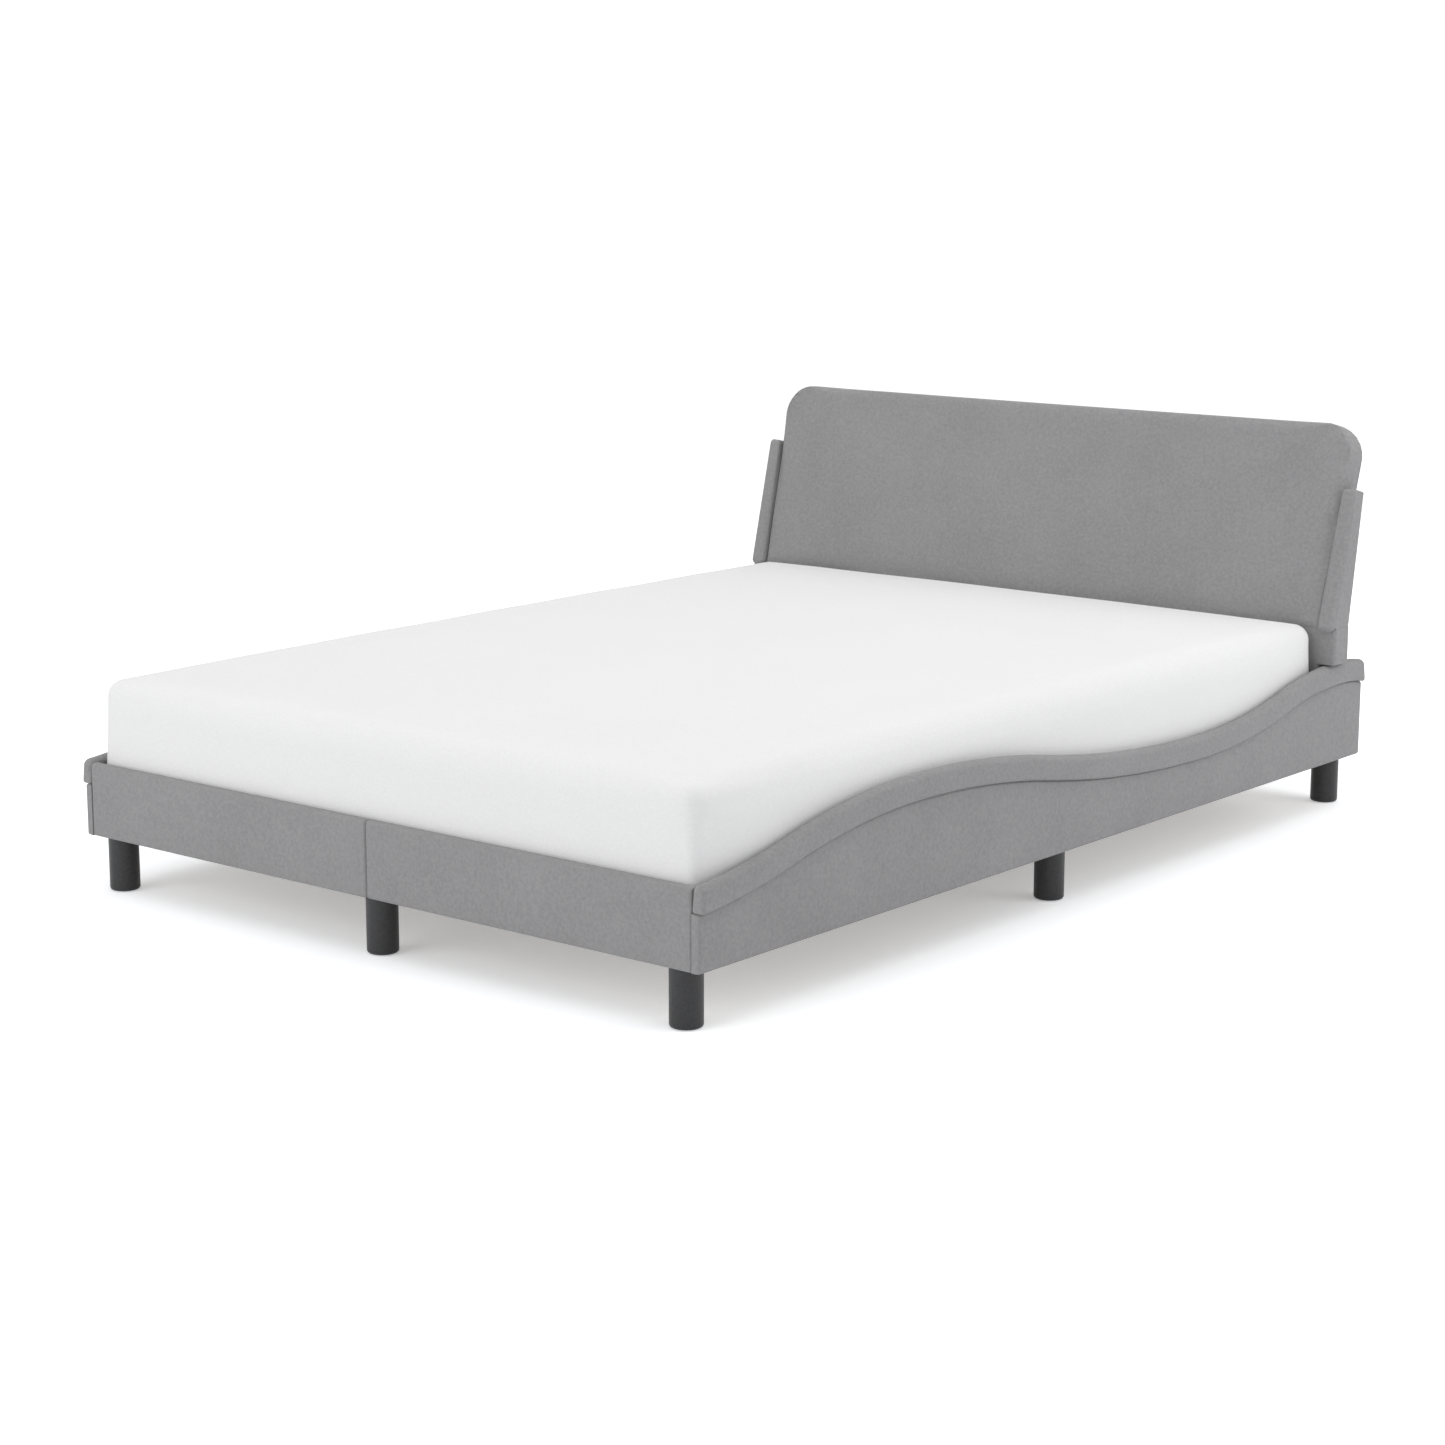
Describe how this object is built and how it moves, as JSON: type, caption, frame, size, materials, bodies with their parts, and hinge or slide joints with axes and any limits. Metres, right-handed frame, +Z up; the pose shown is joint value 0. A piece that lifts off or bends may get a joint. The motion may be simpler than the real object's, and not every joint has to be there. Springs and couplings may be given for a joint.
{
  "type": "upholstered bed",
  "caption": "Low upholstered double bed with wave-topped padded side rails, a raked padded headboard between side wings, black round legs, a slatted base and a lift-off mattress.",
  "frame": {"origin": "centre of the bed's footprint, on the floor", "axes": "+Y from the foot to the head, +X to the right seen from the foot, +Z up"},
  "size_m": [1.466, 2.077, 0.7659],
  "materials": {
    "upholstery": "soft brushed grey weave over foam",
    "mattress_fabric": "plain white knit",
    "mattress_foam": "foam core, not seen",
    "dust_cloth": "thin black dust cloth",
    "webbing": "woven webbing",
    "frame_wood": "plain board and timber, not seen",
    "slat_plywood": "plain plywood",
    "leg_plastic": "satin black",
    "glide_felt": "matt pad",
    "zinc_steel": "zinc plated"
  },
  "bodies": {
    "frame": {"backrest_back_cover": "dust_cloth", "backrest_board": "frame_wood", "backrest_pad": "upholstery", "beam_brackets": "zinc_steel", "centre_beam": "frame_wood", "corner_brackets": "zinc_steel", "footboard_board_left": "frame_wood", "footboard_board_right": "frame_wood", "footboard_cover_left": "upholstery", "footboard_cover_right": "upholstery", "footboard_joining_plate": "zinc_steel", "frame_bolts": "zinc_steel", "head_rail_board": "frame_wood", "head_rail_cover": "upholstery", "headboard_brackets": "zinc_steel", "headboard_lower_board": "frame_wood", "headboard_lower_cover": "upholstery", "headboard_strut_left": "frame_wood", "headboard_strut_right": "frame_wood", "leg_blocks": "frame_wood", "leg_front_centre": "leg_plastic", "leg_front_left": "leg_plastic", "leg_front_right": "leg_plastic", "leg_glides": "glide_felt", "leg_middle_centre": "leg_plastic", "leg_middle_left": "leg_plastic", "leg_middle_right": "leg_plastic", "leg_rear_centre": "leg_plastic", "leg_rear_left": "leg_plastic", "leg_rear_right": "leg_plastic", "leg_studs": "zinc_steel", "side_rail_board_left": "frame_wood", "side_rail_board_right": "frame_wood", "side_rail_cap_left": "upholstery", "side_rail_cap_right": "upholstery", "side_rail_cover_left": "upholstery", "side_rail_cover_right": "upholstery", "slat_01": "slat_plywood", "slat_02": "slat_plywood", "slat_03": "slat_plywood", "slat_04": "slat_plywood", "slat_05": "slat_plywood", "slat_06": "slat_plywood", "slat_07": "slat_plywood", "slat_08": "slat_plywood", "slat_09": "slat_plywood", "slat_10": "slat_plywood", "slat_11": "slat_plywood", "slat_12": "slat_plywood", "slat_13": "slat_plywood", "slat_ledge_left": "frame_wood", "slat_ledge_right": "frame_wood", "slat_straps": "webbing", "strut_bolts": "zinc_steel", "wing_core_left": "frame_wood", "wing_core_right": "frame_wood", "wing_cover_left": "upholstery", "wing_cover_right": "upholstery"},
    "mattress": {"mattress_core": "mattress_foam", "mattress_cover": "mattress_fabric"}
  },
  "joints": [
    {"name": "mattress_lift", "type": "slide", "parent": "frame", "child": "mattress", "axis": [0, 0, 1], "range_m": [0, 0.6]}
  ]
}
